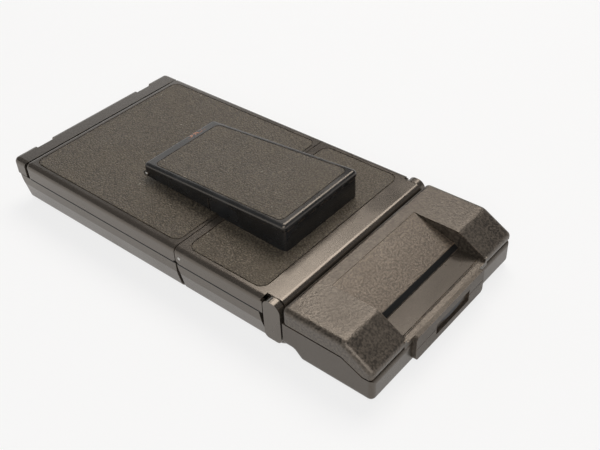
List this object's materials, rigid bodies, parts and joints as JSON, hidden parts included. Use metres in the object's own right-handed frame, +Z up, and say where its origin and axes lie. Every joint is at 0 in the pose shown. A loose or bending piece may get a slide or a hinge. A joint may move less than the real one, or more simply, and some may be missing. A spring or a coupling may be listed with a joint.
{
  "type": "folding instant camera",
  "caption": "Folding instant film camera folded flat, with pop-up reflex viewfinder, hinged covers, tilting lens standard, flash and rangefinder block and drop-down film door.",
  "frame": {"origin": "under the middle of the folded length, on the surface that it lies on", "axes": "+X to the right seen from the flash end looking to the rear, -Y to the flash end, +Z up through the covers"},
  "size_m": [0.104, 0.2228, 0.0391],
  "materials": {
    "moulded_black": "fine pebble moulded plastic",
    "satin_black": "satin moulded plastic",
    "finder_black": "semi-gloss moulded plastic",
    "leather_black": "fine grain",
    "steel": "plain",
    "brass": "turned",
    "silvered": "front silvered",
    "clear": "polished",
    "bellows_black": "dull pleated sheet",
    "foil_gold": "foil",
    "button_red": "smooth",
    "film_black": "smooth"
  },
  "bodies": {
    "base": {"base_tray": "satin_black", "tripod_bush": "brass", "rear_end_piece": "satin_black", "rear_wall_pad": "satin_black", "standard_arms": "steel", "film_pack": "film_black", "dark_slide": "film_black", "pack_spring": "steel", "screen_carrier": "film_black", "focusing_screen": "clear", "bellows": "bellows_black"},
    "rear_cover": {"rear_cover": "satin_black", "rear_leather": "leather_black", "viewing_mirror": "silvered", "rear_hinge_pins": "steel", "apex_hinge_pins": "steel"},
    "front_cover": {"front_cover": "satin_black", "front_leather": "leather_black", "front_hinge_pins": "steel", "finder_base": "finder_black", "finder_cap_pins": "steel"},
    "finder_cap": {"finder_cap": "finder_black", "finder_leather": "leather_black", "finder_mirror": "silvered", "eyepiece_pin": "steel"},
    "eyepiece": {"eyepiece_frame": "finder_black", "eye_lens": "clear"},
    "film_door": {"film_door": "satin_black", "roller_brackets": "steel"},
    "lower_roller": {"lower_roller": "steel"},
    "upper_roller": {"upper_roller": "steel"},
    "front_standard": {"standard_frame": "satin_black", "standard_housing": "moulded_black", "lens_barrel": "film_black", "light_eye": "clear", "block_top_shell": "moulded_black", "block_lower_shell": "moulded_black", "ramp_plate": "moulded_black", "step_strip": "film_black", "nameplate": "moulded_black", "wheel_axle": "steel", "flash_window": "clear", "flash_reflector": "silvered", "flash_tube": "clear", "ranger_disc": "foil_gold", "ranger_grille": "moulded_black", "contact_boss": "satin_black", "pocket_flap": "film_black"},
    "lens_ring": {"lens_ring": "film_black", "front_lens": "clear"},
    "shutter_button": {"shutter_button": "button_red"},
    "focus_wheel": {"focus_wheel": "film_black"}
  },
  "joints": [
    {"name": "rear_cover_fold", "type": "hinge", "parent": "base", "child": "rear_cover", "pos_m": [0, 0.0995, 0.0224], "axis": [-1, 0, 0], "range_deg": [0, 36.4]},
    {"name": "front_cover_fold", "type": "hinge", "parent": "rear_cover", "child": "front_cover", "pos_m": [0, -0.0041, 0.0172], "axis": [1, 0, 0], "range_deg": [0, 78.78]},
    {"name": "standard_fold", "type": "hinge", "parent": "front_cover", "child": "front_standard", "pos_m": [0, -0.0585, 0.0214], "axis": [-1, 0, 0], "range_deg": [0, 106.49]},
    {"name": "finder_cap_lift", "type": "hinge", "parent": "front_cover", "child": "finder_cap", "pos_m": [0, -0.0434, 0.0362], "axis": [1, 0, 0], "range_deg": [0, 25]},
    {"name": "eyepiece_swing", "type": "hinge", "parent": "finder_cap", "child": "eyepiece", "pos_m": [0, 0.0429, 0.0281], "axis": [1, 0, 0], "range_deg": [0, 16]},
    {"name": "film_door_hinge", "type": "hinge", "parent": "base", "child": "film_door", "pos_m": [0, -0.00655, 0.0022], "axis": [1, 0, 0], "range_deg": [0, 60]},
    {"name": "lower_roller_spin", "type": "hinge", "parent": "film_door", "child": "lower_roller", "pos_m": [0, -0.0097, 0.0065], "axis": [1, 0, 0], "continuous": true},
    {"name": "upper_roller_spin", "type": "hinge", "parent": "film_door", "child": "upper_roller", "pos_m": [0, -0.0097, 0.0125], "axis": [1, 0, 0], "continuous": true},
    {"name": "focus_turn", "type": "hinge", "parent": "front_standard", "child": "lens_ring", "pos_m": [0, -0.0389, 0.0076], "axis": [0, 0, 1], "range_deg": [0, 120]},
    {"name": "focus_wheel_turn", "type": "hinge", "parent": "front_standard", "child": "focus_wheel", "pos_m": [0.033, -0.0469, 0.0076], "axis": [0, 0, 1], "range_deg": [-240, 0]},
    {"name": "shutter_press", "type": "slide", "parent": "front_standard", "child": "shutter_button", "axis": [0, 0, 1], "range_m": [0, 0.0012], "stiffness_N_per_m": 300, "springref_m": -0.0006}
  ],
  "couplings": [
    {"joint": "front_cover_fold", "follows": "rear_cover_fold", "ratio": 2.1642},
    {"joint": "standard_fold", "follows": "rear_cover_fold", "ratio": 2.9255},
    {"joint": "finder_cap_lift", "follows": "rear_cover_fold", "ratio": 0.6868},
    {"joint": "eyepiece_swing", "follows": "rear_cover_fold", "ratio": 0.43955},
    {"joint": "upper_roller_spin", "follows": "lower_roller_spin", "ratio": -1},
    {"joint": "focus_wheel_turn", "follows": "focus_turn", "ratio": -2}
  ]
}
